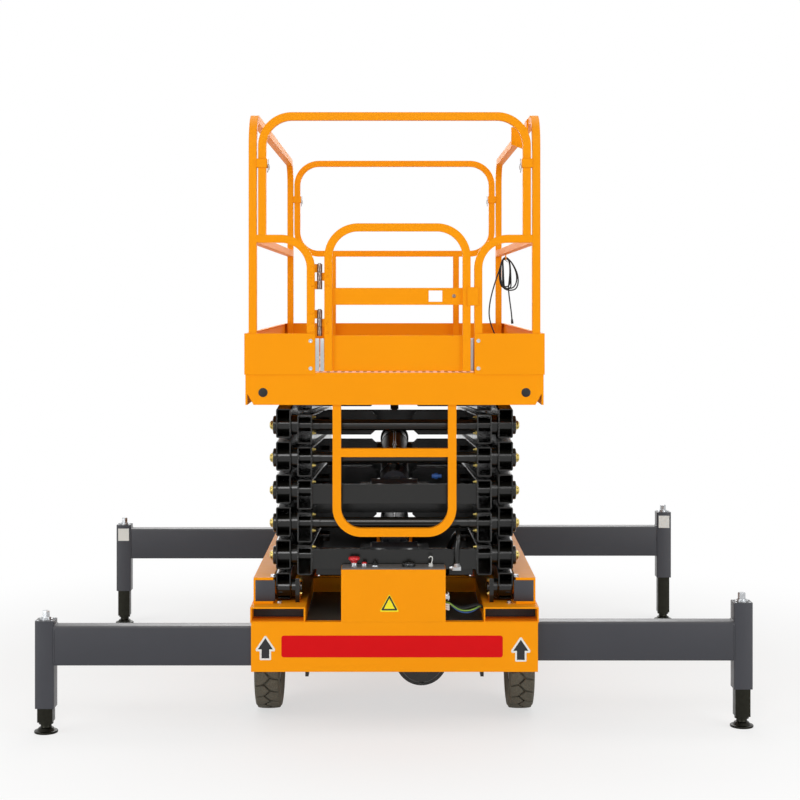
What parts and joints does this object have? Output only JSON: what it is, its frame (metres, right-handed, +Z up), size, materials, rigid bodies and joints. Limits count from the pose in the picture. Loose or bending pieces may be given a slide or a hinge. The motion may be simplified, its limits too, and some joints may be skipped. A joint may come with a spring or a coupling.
{
  "type": "towable scissor lift",
  "caption": "Towable scissor lift, folded: railed platform with a gate on stacked crossed arms, wheeled chassis and pull-out outriggers with screw jacks.",
  "frame": {"origin": "on the floor, under the middle of the whole machine's box", "axes": "+Z up, +X across the machine along its outriggers, -Y towards the gate end"},
  "size_m": [3.026, 2.4505, 2.51],
  "materials": {
    "yellow_paint": "gloss paint",
    "black_paint": "gloss paint",
    "grey_paint": "satin paint",
    "jack_steel": "oiled dark steel",
    "chrome_rod": "polished",
    "tyre_rubber": "worn solid rubber",
    "rim_paint": "satin paint",
    "knob_plastic": "satin",
    "cable_rubber": "matt",
    "connector_plastic": "matt"
  },
  "bodies": {
    "chassis": {"chassis_rails": "yellow_paint", "near_bumper": "yellow_paint", "far_bumper": "yellow_paint", "roller_channels": "yellow_paint", "battery_box": "yellow_paint", "power_pack": "yellow_paint", "control_box": "yellow_paint", "control_knobs": "knob_plastic", "drive_axle": "grey_paint", "steer_axle": "grey_paint"},
    "outer_arm_1": {"outer_arm_1": "black_paint"},
    "inner_arm_1": {"inner_arm_1": "black_paint", "lower_rollers": "black_paint"},
    "outer_arm_2": {"outer_arm_2": "black_paint"},
    "inner_arm_2": {"inner_arm_2": "black_paint"},
    "outer_arm_3": {"outer_arm_3": "black_paint"},
    "inner_arm_3": {"inner_arm_3": "black_paint"},
    "outer_arm_4": {"outer_arm_4": "black_paint"},
    "inner_arm_4": {"inner_arm_4": "black_paint"},
    "outer_arm_5": {"outer_arm_5": "black_paint"},
    "inner_arm_5": {"inner_arm_5": "black_paint"},
    "outer_arm_6": {"outer_arm_6": "black_paint"},
    "inner_arm_6": {"inner_arm_6": "black_paint"},
    "platform": {"platform_deck": "yellow_paint", "toe_boards": "yellow_paint", "side_rails": "yellow_paint", "near_hoop": "yellow_paint", "near_wings": "yellow_paint", "far_rails": "yellow_paint", "ladder": "yellow_paint", "control_holder": "yellow_paint", "cable_lead": "cable_rubber", "cable_hank": "cable_rubber", "cable_tail": "cable_rubber", "cable_connector": "connector_plastic"},
    "gate": {"gate": "yellow_paint"},
    "lower_cylinder": {"lower_cylinder_barrel": "grey_paint"},
    "lower_rod": {"lower_cylinder_rod": "chrome_rod"},
    "upper_cylinder": {"upper_cylinder_barrel": "grey_paint"},
    "upper_rod": {"upper_cylinder_rod": "chrome_rod"},
    "outrigger_near_left": {"outrigger_beam_near_left": "grey_paint"},
    "jack_near_left": {"jack_leg_near_left": "jack_steel"},
    "outrigger_near_right": {"outrigger_beam_near_right": "grey_paint"},
    "jack_near_right": {"jack_leg_near_right": "jack_steel"},
    "outrigger_far_left": {"outrigger_beam_far_left": "grey_paint"},
    "jack_far_left": {"jack_leg_far_left": "jack_steel"},
    "outrigger_far_right": {"outrigger_beam_far_right": "grey_paint"},
    "jack_far_right": {"jack_leg_far_right": "jack_steel"},
    "wheel_near_left": {"tyre_near_left": "tyre_rubber", "rim_near_left": "rim_paint"},
    "wheel_near_right": {"tyre_near_right": "tyre_rubber", "rim_near_right": "rim_paint"},
    "steer_knuckle_left": {"steer_knuckle_left": "grey_paint"},
    "wheel_far_left": {"tyre_far_left": "tyre_rubber", "rim_far_left": "rim_paint"},
    "steer_knuckle_right": {"steer_knuckle_right": "grey_paint"},
    "wheel_far_right": {"tyre_far_right": "tyre_rubber", "rim_far_right": "rim_paint"},
    "tie_rod": {"tie_rod": "grey_paint"},
    "drawbar": {"drawbar": "grey_paint"}
  },
  "joints": [
    {"name": "lift", "type": "hinge", "parent": "chassis", "child": "outer_arm_1", "pos_m": [0, -1.065, 0.567], "axis": [1, 0, 0], "range_deg": [0, 56]},
    {"name": "inner_1_on_outer_1", "type": "hinge", "parent": "outer_arm_1", "child": "inner_arm_1", "pos_m": [0, -0.06725, 0.634], "axis": [1, 0, 0], "range_deg": [-114, 0]},
    {"name": "outer_2_on_inner_1", "type": "hinge", "parent": "inner_arm_1", "child": "outer_arm_2", "pos_m": [0, -1.065, 0.701], "axis": [1, 0, 0], "range_deg": [0, 114]},
    {"name": "inner_2_on_outer_2", "type": "hinge", "parent": "outer_arm_2", "child": "inner_arm_2", "pos_m": [0, -0.06725, 0.768], "axis": [1, 0, 0], "range_deg": [-114, 0]},
    {"name": "outer_3_on_inner_2", "type": "hinge", "parent": "inner_arm_2", "child": "outer_arm_3", "pos_m": [0, -1.065, 0.835], "axis": [1, 0, 0], "range_deg": [0, 114]},
    {"name": "inner_3_on_outer_3", "type": "hinge", "parent": "outer_arm_3", "child": "inner_arm_3", "pos_m": [0, -0.06725, 0.902], "axis": [1, 0, 0], "range_deg": [-114, 0]},
    {"name": "outer_4_on_inner_3", "type": "hinge", "parent": "inner_arm_3", "child": "outer_arm_4", "pos_m": [0, -1.065, 0.969], "axis": [1, 0, 0], "range_deg": [0, 114]},
    {"name": "inner_4_on_outer_4", "type": "hinge", "parent": "outer_arm_4", "child": "inner_arm_4", "pos_m": [0, -0.06725, 1.036], "axis": [1, 0, 0], "range_deg": [-114, 0]},
    {"name": "outer_5_on_inner_4", "type": "hinge", "parent": "inner_arm_4", "child": "outer_arm_5", "pos_m": [0, -1.065, 1.103], "axis": [1, 0, 0], "range_deg": [0, 114]},
    {"name": "inner_5_on_outer_5", "type": "hinge", "parent": "outer_arm_5", "child": "inner_arm_5", "pos_m": [0, -0.06725, 1.17], "axis": [1, 0, 0], "range_deg": [-114, 0]},
    {"name": "outer_6_on_inner_5", "type": "hinge", "parent": "inner_arm_5", "child": "outer_arm_6", "pos_m": [0, -1.065, 1.237], "axis": [1, 0, 0], "range_deg": [0, 114]},
    {"name": "inner_6_on_outer_6", "type": "hinge", "parent": "outer_arm_6", "child": "inner_arm_6", "pos_m": [0, -0.06725, 1.304], "axis": [1, 0, 0], "range_deg": [-114, 0]},
    {"name": "platform_level", "type": "hinge", "parent": "inner_arm_6", "child": "platform", "pos_m": [0, -1.065, 1.371], "axis": [1, 0, 0], "range_deg": [0, 58]},
    {"name": "lower_cylinder_foot", "type": "hinge", "parent": "inner_arm_1", "child": "lower_cylinder", "pos_m": [0, -0.86545, 0.6876], "axis": [1, 0, 0], "range_deg": [0, 125.7]},
    {"name": "lower_cylinder_stroke", "type": "slide", "parent": "lower_cylinder", "child": "lower_rod", "axis": [0, 0.9974, 0.0719], "range_m": [0, 0.758]},
    {"name": "upper_cylinder_foot", "type": "hinge", "parent": "inner_arm_3", "child": "upper_cylinder", "pos_m": [0, -0.86545, 0.9556], "axis": [1, 0, 0], "range_deg": [0, 125.7]},
    {"name": "upper_cylinder_stroke", "type": "slide", "parent": "upper_cylinder", "child": "upper_rod", "axis": [0, 0.9974, 0.0719], "range_m": [0, 0.758]},
    {"name": "gate_hinge", "type": "hinge", "parent": "platform", "child": "gate", "pos_m": [-0.3025, -1.205, 1.753], "axis": [0, 0, 1], "range_deg": [0, 90]},
    {"name": "outrigger_slide_near_left", "type": "slide", "parent": "chassis", "child": "outrigger_near_left", "axis": [1, 0, 0], "range_m": [0, 0.79]},
    {"name": "jack_screw_near_left", "type": "slide", "parent": "outrigger_near_left", "child": "jack_near_left", "axis": [0, 0, 1], "range_m": [0, 0.085]},
    {"name": "outrigger_slide_near_right", "type": "slide", "parent": "chassis", "child": "outrigger_near_right", "axis": [-1, 0, 0], "range_m": [0, 0.79]},
    {"name": "jack_screw_near_right", "type": "slide", "parent": "outrigger_near_right", "child": "jack_near_right", "axis": [0, 0, 1], "range_m": [0, 0.14]},
    {"name": "outrigger_slide_far_left", "type": "slide", "parent": "chassis", "child": "outrigger_far_left", "axis": [1, 0, 0], "range_m": [0, 0.82]},
    {"name": "jack_screw_far_left", "type": "slide", "parent": "outrigger_far_left", "child": "jack_far_left", "axis": [0, 0, 1], "range_m": [0, 0.16]},
    {"name": "outrigger_slide_far_right", "type": "slide", "parent": "chassis", "child": "outrigger_far_right", "axis": [-1, 0, 0], "range_m": [0, 0.82]},
    {"name": "jack_screw_far_right", "type": "slide", "parent": "outrigger_far_right", "child": "jack_far_right", "axis": [0, 0, 1], "range_m": [0, 0.19]},
    {"name": "wheel_spin_near_left", "type": "hinge", "parent": "chassis", "child": "wheel_near_left", "pos_m": [-0.535, -0.765, 0.2], "axis": [1, 0, 0], "continuous": true},
    {"name": "wheel_spin_near_right", "type": "hinge", "parent": "chassis", "child": "wheel_near_right", "pos_m": [0.535, -0.765, 0.2], "axis": [1, 0, 0], "continuous": true},
    {"name": "steer_left", "type": "hinge", "parent": "chassis", "child": "steer_knuckle_left", "pos_m": [-0.43, 0.7, 0.2], "axis": [0, 0, 1], "range_deg": [-25, 25]},
    {"name": "wheel_spin_far_left", "type": "hinge", "parent": "steer_knuckle_left", "child": "wheel_far_left", "pos_m": [-0.535, 0.7, 0.2], "axis": [1, 0, 0], "continuous": true},
    {"name": "steer_right", "type": "hinge", "parent": "chassis", "child": "steer_knuckle_right", "pos_m": [0.43, 0.7, 0.2], "axis": [0, 0, 1], "range_deg": [-25, 25]},
    {"name": "wheel_spin_far_right", "type": "hinge", "parent": "steer_knuckle_right", "child": "wheel_far_right", "pos_m": [0.535, 0.7, 0.2], "axis": [1, 0, 0], "continuous": true},
    {"name": "tie_rod_end", "type": "hinge", "parent": "steer_knuckle_left", "child": "tie_rod", "pos_m": [-0.43, 0.58, 0.125], "axis": [0, 0, 1], "range_deg": [-25, 25]},
    {"name": "drawbar_fold", "type": "hinge", "parent": "chassis", "child": "drawbar", "pos_m": [0, 1.206, 0.37], "axis": [1, 0, 0], "range_deg": [-80, 0]}
  ],
  "couplings": [
    {"joint": "inner_1_on_outer_1", "follows": "lift", "ratio": -2},
    {"joint": "outer_2_on_inner_1", "follows": "lift", "ratio": 2},
    {"joint": "inner_2_on_outer_2", "follows": "lift", "ratio": -2},
    {"joint": "outer_3_on_inner_2", "follows": "lift", "ratio": 2},
    {"joint": "inner_3_on_outer_3", "follows": "lift", "ratio": -2},
    {"joint": "outer_4_on_inner_3", "follows": "lift", "ratio": 2},
    {"joint": "inner_4_on_outer_4", "follows": "lift", "ratio": -2},
    {"joint": "outer_5_on_inner_4", "follows": "lift", "ratio": 2},
    {"joint": "inner_5_on_outer_5", "follows": "lift", "ratio": -2},
    {"joint": "outer_6_on_inner_5", "follows": "lift", "ratio": 2},
    {"joint": "inner_6_on_outer_6", "follows": "lift", "ratio": -2},
    {"joint": "platform_level", "follows": "lift", "ratio": 1},
    {"joint": "lower_cylinder_foot", "follows": "lift", "ratio": 2.2081},
    {"joint": "lower_cylinder_stroke", "follows": "lift", "m_per_rad": 0.7648},
    {"joint": "upper_cylinder_foot", "follows": "lift", "ratio": 2.2081},
    {"joint": "upper_cylinder_stroke", "follows": "lift", "m_per_rad": 0.7648},
    {"joint": "steer_right", "follows": "steer_left", "ratio": 1},
    {"joint": "tie_rod_end", "follows": "steer_left", "ratio": -1}
  ]
}
